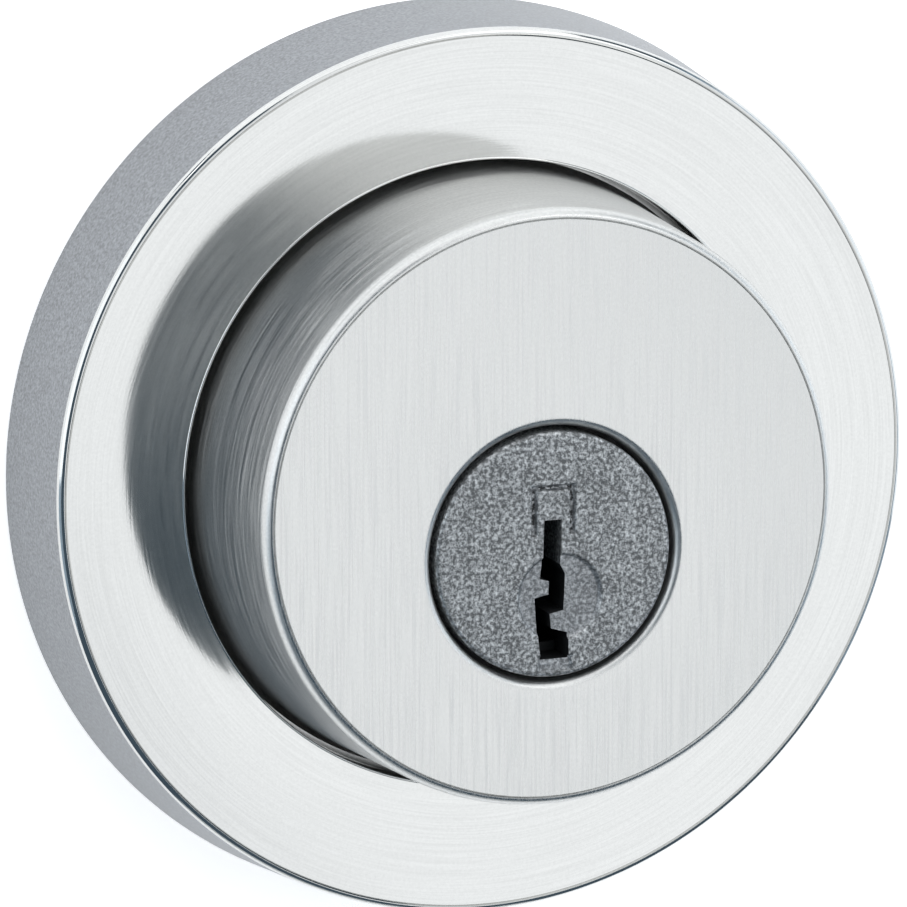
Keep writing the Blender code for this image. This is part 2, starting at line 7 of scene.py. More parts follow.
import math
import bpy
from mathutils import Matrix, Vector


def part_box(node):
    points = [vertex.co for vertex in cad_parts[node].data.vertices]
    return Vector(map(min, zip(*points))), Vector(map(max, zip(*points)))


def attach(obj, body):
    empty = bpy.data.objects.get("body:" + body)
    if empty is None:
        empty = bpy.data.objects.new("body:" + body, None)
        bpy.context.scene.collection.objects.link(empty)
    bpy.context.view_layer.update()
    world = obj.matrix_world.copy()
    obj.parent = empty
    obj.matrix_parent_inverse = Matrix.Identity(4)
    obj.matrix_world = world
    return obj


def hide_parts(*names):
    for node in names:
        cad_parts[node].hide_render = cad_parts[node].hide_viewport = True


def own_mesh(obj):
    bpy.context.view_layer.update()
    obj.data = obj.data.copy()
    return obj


bl_info = {
    "name": "Deadbolt lockset looks",
    "version": (1, 0, 0),
    "blender": (4, 5, 0),
    "location": "View3D > Sidebar > Lockset",
    "description": "Builds the finished trim, cylinder, latch and studio of a tubular deadbolt",
    "category": "Object",
}

import bmesh
import bpy
from bpy.props import FloatProperty, FloatVectorProperty, PointerProperty, StringProperty
from mathutils import Matrix, Quaternion, Vector, noise

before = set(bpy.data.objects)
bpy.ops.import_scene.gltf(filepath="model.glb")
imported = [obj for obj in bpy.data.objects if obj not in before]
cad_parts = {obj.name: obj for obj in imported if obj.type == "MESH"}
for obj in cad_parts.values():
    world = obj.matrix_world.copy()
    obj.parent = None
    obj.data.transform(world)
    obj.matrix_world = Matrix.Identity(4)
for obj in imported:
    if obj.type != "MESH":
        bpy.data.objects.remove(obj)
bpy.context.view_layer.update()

MM = 0.001
TURN_STEPS = 288  # sides of a finished round piece
LIP_STRETCH = 1.7  # the collar's lip is this much longer along its side than across its face
DISH_CURVE = 1.25  # above 1 the rose's face is steeper at its rim than at its hole
SPECKLE_SIZE = 0.19 * MM  # the fine specks between brush strokes
SLACK = 1 * MM  # how far a cutting shape reaches past what it cuts


# ---------------------------------------------------------------- places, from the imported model


def middle(node):
    low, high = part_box(node)
    return (low + high) / 2


def half_size(node):
    low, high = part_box(node)
    return (high - low) / 2


TRIM_CENTRE = middle("exterior_rose")
AXIS_Z = middle("plug").z
DOOR_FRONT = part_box("exterior_rose")[1].y
DOOR_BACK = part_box("interior_rose")[0].y
ROSE_RADIUS = half_size("exterior_rose").x
ROSE_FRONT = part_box("exterior_rose")[0].y
COLLAR_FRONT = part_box("cylinder_collar")[0].y
PLUG_RADIUS = half_size("plug").x
LATCH_Y = middle("latch_tube").y
PIN_NUMBERS = range(1, 6)


# ---------------------------------------------------------------- settings


class LocksetTrim(bpy.types.PropertyGroup):
    rim_round: FloatProperty(
        name="Rim round", description="Radius of the rose's outer corner",
        default=0.44 * MM, unit="LENGTH")
    rim_radius: FloatProperty(
        name="Rim radius", description="Rose radius at its front corner",
        default=31.0 * MM, unit="LENGTH")
    hole_radius: FloatProperty(
        name="Rose hole", description="Radius of the hole round the collar",
        default=21.9 * MM, unit="LENGTH")
    dish: FloatProperty(
        name="Dish", description="How far the rose's face dips at its hole",
        default=0.65 * MM, unit="LENGTH")
    collar_base: FloatProperty(
        name="Collar base", description="Collar radius where it leaves the rose",
        default=21.4 * MM, unit="LENGTH")
    collar_face: FloatProperty(
        name="Collar face", description="Collar radius at its face",
        default=20.45 * MM, unit="LENGTH")
    lip_round: FloatProperty(
        name="Collar lip", description="Width of the collar's rounded front corner",
        default=0.62 * MM, unit="LENGTH")
    bore_radius: FloatProperty(
        name="Bore", description="Radius of the hole round the plug",
        default=8.77 * MM, unit="LENGTH")
    bore_round: FloatProperty(
        name="Bore lip", description="Radius of the polished lip round the plug",
        default=0.6 * MM, unit="LENGTH")


class LocksetFinish(bpy.types.PropertyGroup):
    satin: StringProperty(
        name="Satin chrome", description="Brushed chrome plate, sRGB hex", default="CFCFCD")
    # The wall's darker colour is partly painted shade: the same chrome, darkened for the dimmer light on
    # the rose's side.
    wall: StringProperty(
        name="Satin wall", description="Fine blasted satin on the rose's wall", default="8F9194")
    cast: StringProperty(
        name="Cast plug", description="Matt sintered plug metal", default="B3B5B6")
    # The marks' smoother grain is real; their darker colour is painted shade in the sunk marks.
    marks: StringProperty(
        name="Plug marks", description="Pressed marks in the plug's face", default="A7A9AB")
    zinc: StringProperty(
        name="Zinc plate", description="Bright zinc plated steel", default="B9BDC2")
    brass: StringProperty(
        name="Brass", description="Machined brass", default="C9A566")
    # This black is painted shade: it darkens the base plate and housing deep in the gaps, and the keyway
    # walls.
    black: StringProperty(
        name="Black casting", description="Black dipped zinc casting", default="17181A")
    nylon: StringProperty(
        name="Nylon", description="Natural moulded nylon", default="E4E2D8")
    spring: StringProperty(
        name="Spring steel", description="Oil-tempered spring steel", default="6D7075")


class LocksetStage(bpy.types.PropertyGroup):
    azimuth: FloatProperty(
        name="Azimuth", description="Camera's turn from straight in front", default=math.radians(-20.6),
        subtype="ANGLE")
    elevation: FloatProperty(
        name="Elevation", description="Camera's height angle",
        default=math.radians(11.77), subtype="ANGLE")
    distance: FloatProperty(
        name="Distance", description="Camera to target", default=409.0 * MM, unit="LENGTH")
    lens: FloatProperty(
        name="Lens", description="Focal length in millimetres", default=231.2)
    target: FloatVectorProperty(
        name="Target", description="Point that the camera looks at, from the trim's centre",
        default=(0.72 * MM, 0, -0.27 * MM), unit="LENGTH")


# ---------------------------------------------------------------- node and mesh helpers


def linear(hex_colour):
    """An sRGB hex colour as linear RGBA."""
    channels = [int(hex_colour[i:i + 2], 16) / 255 for i in (0, 2, 4)]
    return (*[c / 12.92 if c <= 0.04045 else ((c + 0.055) / 1.055) ** 2.4 for c in channels], 1)


def add_node(tree, kind, links=(), **settings):
    """Adds a node. Settings are its own values or, with a leading "in_", its inputs' values;
    links are (input, output socket) pairs."""
    made = tree.nodes.new(kind)
    for name, value in settings.items():
        if name.startswith("in_"):
            made.inputs[name[3:].replace("_", " ")].default_value = value
        else:
            setattr(made, name, value)
    for socket, source in links:
        tree.links.new(source, made.inputs[socket])
    return made


def new_material(name):
    """A material with one shader, its tree and the shader."""
    material = bpy.data.materials.new(name)
    material.use_nodes = True
    return material, material.node_tree, material.node_tree.nodes["Principled BSDF"]


def grain_vector(tree, way, width, length, centre_z=0.0):
    """Coordinates stretched along the brushing, so that one noise cell is width by length metres.

    way is ROUND_FACE for a turned face, ROUND_SIDE for a turned side, UPRIGHT for
    strokes along Z, ALONG_X for strokes along X and EVEN for no direction.
    """
    place = add_node(tree, "ShaderNodeTexCoord").outputs["Object"]
    if way in ("EVEN", "UPRIGHT", "ALONG_X"):
        along = {"EVEN": -1, "UPRIGHT": 2, "ALONG_X": 0}[way]
        scale = [1 / (length if axis == along else width) for axis in range(3)]
        stretched = add_node(tree, "ShaderNodeMapping", [("Vector", place)], in_Scale=scale)
        return stretched.outputs[0]
    moved = add_node(tree, "ShaderNodeMapping", [("Vector", place)], in_Location=(0, 0, -centre_z))
    flat = add_node(tree, "ShaderNodeVectorMath", [(0, moved.outputs[0])], operation="MULTIPLY")
    flat.inputs[1].default_value = (1, 0, 1)
    radius = add_node(tree, "ShaderNodeVectorMath", [(0, flat.outputs[0])], operation="LENGTH")
    unit = add_node(tree, "ShaderNodeVectorMath", [(0, flat.outputs[0])], operation="NORMALIZE")
    around = add_node(tree, "ShaderNodeSeparateXYZ", [(0, unit.outputs[0])])
    depth = add_node(tree, "ShaderNodeSeparateXYZ", [(0, place)])
    across = radius.outputs["Value"] if way == "ROUND_FACE" else depth.outputs["Y"]
    mean_radius = 26 * MM
    first = add_node(tree, "ShaderNodeMath", [(0, across)], operation="DIVIDE")
    first.inputs[1].default_value = width
    both = [first.outputs[0]]
    for axis in ("X", "Z"):
        turn = add_node(tree, "ShaderNodeMath", [(0, around.outputs[axis])], operation="MULTIPLY")
        turn.inputs[1].default_value = mean_radius / length
        both.append(turn.outputs[0])
    joined = add_node(tree, "ShaderNodeCombineXYZ", list(zip(("X", "Y", "Z"), both)))
    return joined.outputs[0]


def ramp(tree, source, low, high, start=0.3, end=0.7):
    """Carries a noise value from start..end to low..high."""
    made = add_node(tree, "ShaderNodeMapRange", [("Value", source)])
    for socket, value in zip(("From Min", "From Max", "To Min", "To Max"), (start, end, low, high)):
        made.inputs[socket].default_value = value
    return made.outputs[0]


def tint(tree, colour, factor, lift):
    """The colour made darker and lighter by a factor from 0 to 1."""
    dark = [channel * (1 - lift) for channel in colour[:3]]
    light = [min(1, channel * (1 + lift)) for channel in colour[:3]]
    made = add_node(tree, "ShaderNodeMix", [("Factor", factor)], data_type="RGBA")
    made.inputs["A"].default_value = (*dark, 1)
    made.inputs["B"].default_value = (*light, 1)
    return made.outputs["Result"]


def brushed(name, colour, way, roughness, strength=0.35, width=0.16 * MM, length=9 * MM,
            centre_z=0.0, lift=0.05, anisotropic=0.0):
    """Plated metal with brush strokes: fine grooves that break up the gloss along one direction."""
    material, tree, shader = new_material(name)
    vector = grain_vector(tree, way, width, length, centre_z)
    strokes = add_node(tree, "ShaderNodeTexNoise", [("Vector", vector)], in_Scale=1.0, in_Detail=3.0,
                       in_Roughness=0.65)
    place = add_node(tree, "ShaderNodeTexCoord").outputs["Object"]
    speckle = add_node(tree, "ShaderNodeTexNoise", [("Vector", place)], in_Scale=1 / SPECKLE_SIZE,
                       in_Detail=1.0)
    both = add_node(tree, "ShaderNodeMix", [("A", strokes.outputs[0]), ("B", speckle.outputs[0])])
    both.inputs["Factor"].default_value = 0.3
    base = linear(colour)
    shade = ramp(tree, both.outputs["Result"], 0, 1, 0.36, 0.64)
    tree.links.new(tint(tree, base, shade, lift), shader.inputs["Base Color"])
    gloss = ramp(tree, strokes.outputs[0], roughness * 0.7, roughness * 1.3)
    tree.links.new(gloss, shader.inputs["Roughness"])
    grooves = add_node(tree, "ShaderNodeBump", [("Height", both.outputs["Result"])], in_Strength=strength,
                       in_Distance=0.006 * MM)
    tree.links.new(grooves.outputs[0], shader.inputs["Normal"])
    shader.inputs["Metallic"].default_value = 1
    shader.inputs["Anisotropic"].default_value = anisotropic
    return material


def turned(outline, steps=TURN_STEPS, centre=(0, 0, 0)):
    """A solid turned about a Y axis through centre, from a closed outline of (radius, y) points."""
    shape = bmesh.new()
    rings = []
    for radius, y in outline:
        count = steps if radius else 1
        turns = [2 * math.pi * step / steps for step in range(count)]
        rings.append([
            shape.verts.new((centre[0] + radius * math.cos(a), y, centre[2] + radius * math.sin(a)))
            for a in turns])
    for ring, after in zip(rings, rings[1:] + rings[:1]):
        for step in range(steps):
            around = [ring[step % len(ring)], ring[(step + 1) % steps % len(ring)]]
            around += [after[(step + 1) % steps % len(after)], after[step % len(after)]]
            corners = list(dict.fromkeys(around))
            if len(corners) > 2:
                shape.faces.new(corners)
    return shape


def arc(centre, radius, start, end, count):
    """Points along an arc, its angles in degrees."""
    turns = [math.radians(start + (end - start) * i / count) for i in range(count + 1)]
    return [(centre[0] + radius * math.cos(a), centre[1] + radius * math.sin(a)) for a in turns]


def line(start, end, count):
    """Points between two points, without the first."""
    return [tuple(s + (e - s) * i / count for s, e in zip(start, end)) for i in range(1, count + 1)]


def prism(outline, low, high):
    """A solid between two planes across Y from an (x, z) outline."""
    shape = bmesh.new()
    face = shape.faces.new([shape.verts.new((x, low, z)) for x, z in outline])
    grown = bmesh.ops.extrude_face_region(shape, geom=[face])["geom"]
    moved = [item for item in grown if isinstance(item, bmesh.types.BMVert)]
    bmesh.ops.translate(shape, verts=moved, vec=(0, high - low, 0))
    return shape


def make_piece(name, shape, materials, sharp=35):
    """A finished mesh object, shaded smooth between its sharp edges."""
    bmesh.ops.recalc_face_normals(shape, faces=shape.faces)
    mesh = bpy.data.meshes.new(name)
    shape.to_mesh(mesh)
    shape.free()
    mesh.shade_smooth()
    mesh.set_sharp_from_angle(angle=math.radians(sharp))
    for material in materials:
        mesh.materials.append(material)
    piece = bpy.data.objects.new(name, mesh)
    bpy.context.scene.collection.objects.link(piece)
    return piece


def paint(piece, chosen):
    """Gives each face the material slot that chosen(centre, normal) picks."""
    for face in piece.data.polygons:
        face.material_index = chosen(face.center, face.normal)


def carve(piece, shape, operation="DIFFERENCE"):
    """Cuts a shape out of a piece for good, or joins it on."""
    tool = make_piece("tool", shape, [])
    boolean = piece.modifiers.new("carve", "BOOLEAN")
    boolean.operation = operation
    boolean.solver = "EXACT"
    boolean.object = tool
    depsgraph = bpy.context.evaluated_depsgraph_get()
    result = bpy.data.meshes.new_from_object(piece.evaluated_get(depsgraph))
    piece.modifiers.clear()
    piece.data = result
    bpy.data.objects.remove(tool)
    result.set_sharp_from_angle(angle=math.radians(35))
    return piece


def stand_for(piece, body, slot, *nodes):
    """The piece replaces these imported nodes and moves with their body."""
    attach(piece, body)
    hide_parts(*nodes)
    return piece


def scored_line(start):
    """The fine line scored where a rounded edge meets the brushed face, cut inwards from start."""
    half, depth = 0.07 * MM, 0.10 * MM
    return [(start[0] - half, start[1] + depth), (start[0] - 2 * half, start[1])]


def rose_profile(trim, hole, front, back):
    """The rose's outline on the exterior side: tapered wall, rounded rim, dipped face, hole."""
    rim = (trim.rim_radius - trim.rim_round, front + trim.rim_round)
    edge = front + trim.dish
    wall, chamfer, skin, bead = 1.8 * MM, 0.25 * MM, 1.6 * MM, 0.09 * MM
    outer = ROSE_RADIUS
    outline = [(outer - wall, back), (outer - chamfer, back), (outer, back - chamfer)]
    outline += line(outline[-1], (trim.rim_radius, rim[1]), 8)[:-1]
    outline += arc(rim, trim.rim_round, 0, -90, 12)
    outline += scored_line(outline[-1])
    start = outline[-1]
    for step in range(1, 33):
        t = step / 32
        dip = trim.dish * (1 - (1 - t) ** DISH_CURVE)
        outline.append((start[0] + (hole + 2 * bead - start[0]) * t, front + dip))
    outline += arc((hole + bead, edge), bead, -10, -190, 8)
    outline += [(hole, edge + skin), (trim.rim_radius - wall, front + skin + chamfer)]
    return outline


def collar_profile(trim):
    """The collar's outline: flange, tapered side, rounded lip, flat face and hollow back."""
    flange_low, flange_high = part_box("cylinder_collar")[1].y, -5.6 * MM
    flange_radius = half_size("cylinder_collar").x
    lip_depth = trim.lip_round * LIP_STRETCH
    lip = (trim.collar_face - trim.lip_round, COLLAR_FRONT + lip_depth)
    skin = 2.5 * MM
    bore = trim.collar_base - skin
    outline = [(flange_radius, flange_low), (flange_radius, flange_high)]
    outline += [(trim.collar_base + 0.3 * MM, flange_high)]
    outline += line((trim.collar_base, flange_high - 0.2 * MM), (trim.collar_face, lip[1]), 12)[:-1]
    for turn in range(13):
        angle = math.radians(90 * turn / 12)
        outline.append((lip[0] + trim.lip_round * math.cos(angle), lip[1] - lip_depth * math.sin(angle)))
    outline += scored_line(outline[-1])
    outline += line(outline[-1], (0, COLLAR_FRONT), 3)
    outline += [(0, COLLAR_FRONT + skin), (bore, COLLAR_FRONT + skin), (bore, flange_low)]
    return outline


# ---------------------------------------------------------------- finishes


def satin_face(colour):
    """Satin chrome brushed round and round: bright, with a clear reflection drawn out by the strokes."""
    return brushed("satin_chrome_round_brushed", colour, "ROUND_FACE", 0.085, strength=0.22,
                   centre_z=TRIM_CENTRE.z, lift=0.055)


def satin_side(colour):
    """Satin chrome on a turned side, with the lathe strokes round it."""
    return brushed("satin_chrome_turned_side", colour, "ROUND_SIDE", 0.40, strength=0.4,
                   centre_z=TRIM_CENTRE.z, lift=0.13)


def satin_upright(colour):
    """Satin chrome stroked up and down: the reflection blurs sideways into soft vertical lines."""
    return brushed("satin_chrome_straight_brushed", colour, "UPRIGHT", 0.26, strength=0.4,
                   width=0.17 * MM, length=8 * MM, lift=0.05)


def satin_length(colour):
    """Satin chrome stroked along the bolt's length."""
    return brushed("satin_chrome_long_brushed", colour, "ALONG_X", 0.26, strength=0.5,
                   length=10 * MM, lift=0.08)


def satin_wall_and_shade(colour):
    """Fine blasted satin: an even grey with a faint sparkle and no direction; its colour is darker than
    the brushed face's as painted shade on the rose's side.
    """
    return brushed("satin_chrome_blasted_and_shaded", colour, "EVEN", 0.42, strength=1.0, width=0.24 * MM,
                   length=0.24 * MM, lift=0.34)


def cast_metal(name, colour, lift):
    """Sintered plug metal: a coarse matt grain of light and dark specks."""
    material, tree, shader = new_material(name)
    place = add_node(tree, "ShaderNodeTexCoord").outputs["Object"]
    grains = add_node(tree, "ShaderNodeTexNoise", [("Vector", place)], in_Scale=1 / (0.27 * MM),
                      in_Detail=2.5, in_Roughness=0.7)
    patches = add_node(tree, "ShaderNodeTexNoise", [("Vector", place)], in_Scale=1 / (1.6 * MM),
                       in_Detail=2.0)
    mixed = add_node(tree, "ShaderNodeMix", [("A", grains.outputs[0]), ("B", patches.outputs[0])])
    mixed.inputs["Factor"].default_value = 0.15
    shade = ramp(tree, mixed.outputs["Result"], 0, 1, 0.43, 0.70)
    tree.links.new(tint(tree, linear(colour), shade, lift), shader.inputs["Base Color"])
    tree.links.new(ramp(tree, grains.outputs[0], 0.62, 0.36), shader.inputs["Roughness"])
    bumps = add_node(tree, "ShaderNodeBump", [("Height", grains.outputs[0])], in_Strength=0.7,
                     in_Distance=0.05 * MM)
    tree.links.new(bumps.outputs[0], shader.inputs["Normal"])
    shader.inputs["Metallic"].default_value = 0.75
    return material


def plain_metal(name, colour, roughness, grain=0.5 * MM, lift=0.08):
    """Small steel and brass parts: plated or machined, with faint handling marks."""
    return brushed(name, colour, "EVEN", roughness, strength=0.12, width=grain, length=grain, lift=lift)


def black_casting(colour):
    """Painted shade: a dark matt finish with a fine orange peel, put on the base plate and cylinder
    housing deep in the gaps round the collar and plug, and on the keyway walls, where the dark is shade.
    """
    material = brushed("black_dipped_zinc", colour, "EVEN", 0.55, strength=0.6, width=0.6 * MM,
                       length=0.6 * MM, lift=0.2)
    material.node_tree.nodes["Principled BSDF"].inputs["Metallic"].default_value = 0
    return material


def moulded_nylon(colour):
    """Natural nylon: off-white, slightly waxy."""
    material = brushed("moulded_nylon", colour, "EVEN", 0.45, strength=0.2, width=1.0 * MM,
                       length=1.0 * MM, lift=0.03)
    shader = material.node_tree.nodes["Principled BSDF"]
    shader.inputs["Metallic"].default_value = 0
    shader.inputs["Subsurface Weight"].default_value = 0.1
    shader.inputs["Subsurface Radius"].default_value = (0.5 * MM, 0.4 * MM, 0.3 * MM)
    return material


FINISHES = {}


def finishes():
    """Every finish by a short name, made once."""
    if not FINISHES:
        colours = bpy.context.scene.lockset_finish
        FINISHES.update({
            "face": satin_face(colours.satin),
            "side": satin_side(colours.satin),
            "upright": satin_upright(colours.satin),
            "length": satin_length(colours.satin),
            "wall": satin_wall_and_shade(colours.wall),
            "cast": cast_metal("sintered_plug_metal", colours.cast, 0.66),
            # Smoother grain in the marks, and a darker colour that is painted shade in these recesses.
            "cast_marks_and_shade": cast_metal("pressed_plug_metal_shaded", colours.marks, 0.5),
            "zinc": plain_metal("bright_zinc_plate", colours.zinc, 0.3),
            "brass": plain_metal("machined_brass", colours.brass, 0.28),
            "spring": plain_metal("tempered_spring_steel", colours.spring, 0.35),
            # Painted shade for the deep gaps round collar and plug and for the keyway.
            "black": black_casting(colours.black),
            "nylon": moulded_nylon(colours.nylon),
        })
    return FINISHES


# ---------------------------------------------------------------- pieces


def is_wall(radius, depth):
    """True for a rose face on its outer wall rather than on its brushed front."""
    return radius > 30.2 * MM and depth > 0.9 * MM


def paint_rose(piece, centre, front, outward):
    """The wall is blasted, its darker colour partly painted shade, and the front is brushed round."""
    def chosen(place, normal):
        radius = math.hypot(place.x - centre.x, place.z - centre.z)
        return 1 if is_wall(radius, (front - place.y) * outward) else 0
    paint(piece, chosen)


class LOCKSET_OT_exterior_rose(bpy.types.Operator):
    """Makes the dished exterior rose"""
    bl_idname = "lockset.exterior_rose"
    bl_label = "Exterior rose"

    def execute(self, context):
        trim, look = context.scene.lockset_trim, finishes()
        shape = turned(rose_profile(trim, trim.hole_radius, ROSE_FRONT, DOOR_FRONT), centre=TRIM_CENTRE)
        rose = make_piece("rose_exterior", shape, [look["face"], look["wall"]])
        paint_rose(rose, TRIM_CENTRE, ROSE_FRONT, -1)
        stand_for(rose, "lock_body", "satin_chrome", "exterior_rose")
        return {"FINISHED"}


class LOCKSET_OT_collar(bpy.types.Operator):
    """Makes the collar that guards the cylinder, with its polished bore lip"""
    bl_idname = "lockset.collar"
    bl_label = "Cylinder collar"

    def execute(self, context):
        trim, look = context.scene.lockset_trim, finishes()
        shape = turned(collar_profile(trim), centre=TRIM_CENTRE)
        collar = make_piece("collar", shape, [look["side"], look["upright"]])
        carve(collar, turned(bore_cutter_profile(trim), 192, (0, 0, AXIS_Z)))
        flat = COLLAR_FRONT + 0.03 * MM
        paint(collar, lambda place, normal: 1 if place.y < flat and normal.y < -0.9 else 0)
        stand_for(collar, "lock_body", "satin_chrome", "cylinder_collar")
        return {"FINISHED"}


def bore_cutter_profile(trim):
    """A flared plug that cuts the bore and leaves a rounded lip at its mouth."""
    front, radius, lip = COLLAR_FRONT, trim.bore_radius, trim.bore_round
    flare = arc((radius + lip, front + lip), lip, 180, 270, 10)
    reach = 4 * MM
    return [(0, front + reach), (radius, front + reach), *flare,
            (radius + lip, front - SLACK), (0, front - SLACK)]


def keyway_section():
    """The zigzag slot of the keyway, as (x, z) from the turning axis."""
    millimetres = [
        (-0.70, 2.4), (0.55, 2.4), (0.55, -0.75), (0.90, -1.4), (0.80, -3.9), (-0.20, -4.1),
        (-0.10, -5.1), (1.05, -5.45), (1.10, -7.2), (-0.92, -7.2), (-1.10, -5.85), (-1.30, -2.95),
        (-0.30, -2.75), (-0.26, -1.85), (-0.92, -1.65), (-0.80, -0.7),
    ]
    return [(x * MM, AXIS_Z + z * MM) for x, z in millimetres]


def soft_step(value, edge, width):
    """0 below the edge and 1 above it, over a width."""
    t = min(1, max(0, (value - edge) / width + 0.5))
    return t * t * (3 - 2 * t)


def plug_relief(x, z):
    """How deep the plug's face is sunk at a point, in metres: marks, key rest and casting grain."""
    x, z = x / MM, (z - AXIS_Z) / MM
    soft = 0.12
    inside_outer = min(1.55 - abs(x + 0.02), 4.75 - z, z - 1.4)
    inside_inner = min(1.20 - abs(x + 0.02), 4.45 - z)
    bridge = soft_step(inside_outer, 0, soft) * (1 - soft_step(inside_inner, 0, soft))
    rest = soft_step(2.95 - math.hypot(x - 0.45, z + 2.95), 0, 0.25)
    slot = soft_step(min(1.15 - abs(x - 0.1), -7.0 - z), 0, soft)
    grain = noise.noise(Vector((x, z, 3)) / 0.26) * 0.5 + noise.noise(Vector((x, z, 9)) / 0.13) * 0.25
    marks = 0.30 * bridge + 0.26 * rest + 0.24 * slot
    return (marks + 0.035 * grain) * MM


def is_mark(place, front):
    """True for a point of the plug's face that lies in one of its sunk marks."""
    inside = math.hypot(place.x, place.z - AXIS_Z) < PLUG_RADIUS - 0.4 * MM
    on_face = place.y < front + 0.5 * MM and inside
    return on_face and plug_relief(place.x, place.z) > 0.10 * MM


class LOCKSET_OT_plug(bpy.types.Operator):
    """Makes the plug with its grained face, keyway, key rest and marks"""
    bl_idname = "lockset.plug"
    bl_label = "Cylinder plug"

    def execute(self, context):
        look = finishes()
        low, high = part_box("plug")
        head_back, body_radius = -18.6 * MM, 6.35 * MM
        tail_front, tail_back, tail_radius = 5.8 * MM, high.y - 1.5 * MM, 5.0 * MM
        edge, rings = 0.28 * MM, 96
        flat = PLUG_RADIUS - edge
        front = low.y + 0.02 * MM
        outline = [(0, tail_back), (tail_radius, tail_back), (tail_radius, tail_front),
                   (body_radius, tail_front), (body_radius, head_back), (PLUG_RADIUS, head_back)]
        outline += arc((flat, front + edge), edge, 0, -90, 6)
        outline += line((flat, front), (0, front), rings)
        shape = turned(outline, 320, (0, 0, AXIS_Z))
        for corner in shape.verts:
            radius = math.hypot(corner.co.x, corner.co.z - AXIS_Z)
            if corner.co.y < front + 0.01 * MM and radius < flat - 0.02 * MM:
                corner.co.y += plug_relief(corner.co.x, corner.co.z)
        finishes_used = [look["cast"], look["cast_marks_and_shade"], look["black"]]
        plug = make_piece("plug_finished", shape, finishes_used, sharp=50)
        # The sunk marks take the darker cast finish: painted shade in these recesses, with a smoother
        # grain.
        paint(plug, lambda place, normal: 1 if is_mark(place, front) else 0)
        floor, top, reach = -2.6 * MM, 7.5 * MM, 1.6 * MM
        for number in PIN_NUMBERS:
            pin = middle(f"key_pin_{number}")
            chamber = [(0, floor), (reach, floor), (reach, top), (0, top)]
            carve(plug, turned_to_z(turned(chamber, 40), (0, pin.y, AXIS_Z)))
        keyway_end = low.y + 25 * MM
        carve(plug, prism(keyway_section(), low.y - SLACK, keyway_end))

        def in_keyway(place):
            """True inside the keyway and the pin chambers, whose walls get the black finish as painted
            shade.
            """
            limit = 7.9 * MM if place.y < head_back else 6.2 * MM
            radius = math.hypot(place.x, place.z - AXIS_Z)
            return front + 0.3 * MM < place.y < keyway_end + 0.05 * MM and radius < limit

        # Painted shade: the keyway and chamber walls take the black finish.
        for face in plug.data.polygons:
            if in_keyway(face.center):
                face.material_index = 2
        stand_for(plug, "plug", "cast_plug_metal", "plug")
        return {"FINISHED"}


def stadium(length, width, steps=24):
    """The outline of a bar with round ends, as (x, z), its length along Z."""
    reach = (length - width) / 2
    return arc((0, reach), width / 2, 0, 180, steps) + arc((0, -reach), width / 2, 180, 360, steps)


def soften(shape, chosen, width, segments=4):
    """Rounds the edges whose every corner passes a test."""
    edges = [edge for edge in shape.edges if all(chosen(corner.co) for corner in edge.verts)]
    bmesh.ops.bevel(shape, geom=edges, offset=width, segments=segments, profile=0.5, affect="EDGES",
                    clamp_overlap=True)
    return shape


def turned_to_x(shape, place):
    """Turns a shape about the Y axis into one about the X axis and moves it."""
    bmesh.ops.rotate(shape, verts=shape.verts, matrix=Matrix.Rotation(-math.pi / 2, 3, "Z"))
    bmesh.ops.translate(shape, verts=shape.verts, vec=place)
    return shape


def turned_to_z(shape, place):
    """Turns a shape about the Y axis into one about the Z axis and moves it."""
    bmesh.ops.rotate(shape, verts=shape.verts, matrix=Matrix.Rotation(math.pi / 2, 3, "X"))
    bmesh.ops.translate(shape, verts=shape.verts, vec=place)
    return shape


def coil(radius, wire, low, high, turns, centre, sides=10, per_turn=28):
    """A compression spring about a Z axis, with its end turns closed up."""
    shape = bmesh.new()
    count = turns * per_turn
    heights = []
    for step in range(count + 1):
        t = step / count * turns
        heights.append(max(0.0, min(t, turns) - 0.75 * min(1, t) - 0.75 * max(0, t - turns + 1)))
    span = heights[-1]
    rings = []
    for step, height in enumerate(heights):
        angle = 2 * math.pi * step / per_turn
        outward = Vector((math.cos(angle), math.sin(angle), 0))
        z = low + wire + (high - low - 2 * wire) * height / span
        middle_point = Vector((centre.x, centre.y, 0)) + outward * radius + Vector((0, 0, z))
        ring = []
        for side in range(sides):
            spin = 2 * math.pi * side / sides
            offset = outward * math.cos(spin) + Vector((0, 0, math.sin(spin)))
            ring.append(shape.verts.new(middle_point + offset * wire))
        rings.append(ring)
    for ring, after in zip(rings, rings[1:]):
        for side in range(sides):
            nearby = (side + 1) % sides
            shape.faces.new((ring[side], ring[nearby], after[nearby], after[side]))
    shape.faces.new(rings[0])
    shape.faces.new(rings[-1])
    return shape


def threaded(rings, pitch, steps=36):
    """A screw about the Y axis from (radius, thread height, y) rings, first and last ones closed."""
    shape = bmesh.new()
    made = []
    for radius, height, y in rings:
        ring = []
        for step in range(steps):
            angle = 2 * math.pi * step / steps
            phase = (y / pitch - step / steps) % 1
            crest = max(0, 1 - abs(2 * phase - 1) * 1.5)
            reach = radius + height * crest
            ring.append(shape.verts.new((reach * math.cos(angle), y, reach * math.sin(angle))))
        made.append(ring)
    for ring, after in zip(made, made[1:]):
        for step in range(steps):
            nearby = (step + 1) % steps
            shape.faces.new((ring[step], ring[nearby], after[nearby], after[step]))
    shape.faces.new(made[0])
    shape.faces.new(made[-1])
    return shape


def thread_rings(core, crest, start, end, pitch, fade):
    """Rings for a threaded shank, whose thread fades in and out over a distance at both ends."""
    count = max(2, round(abs(end - start) / pitch * 8))
    rings = []
    for step in range(count + 1):
        y = start + (end - start) * step / count
        nearest = min(abs(y - start), abs(end - y))
        rings.append((core, (crest - core) * min(1, nearest / fade), y))
    return rings


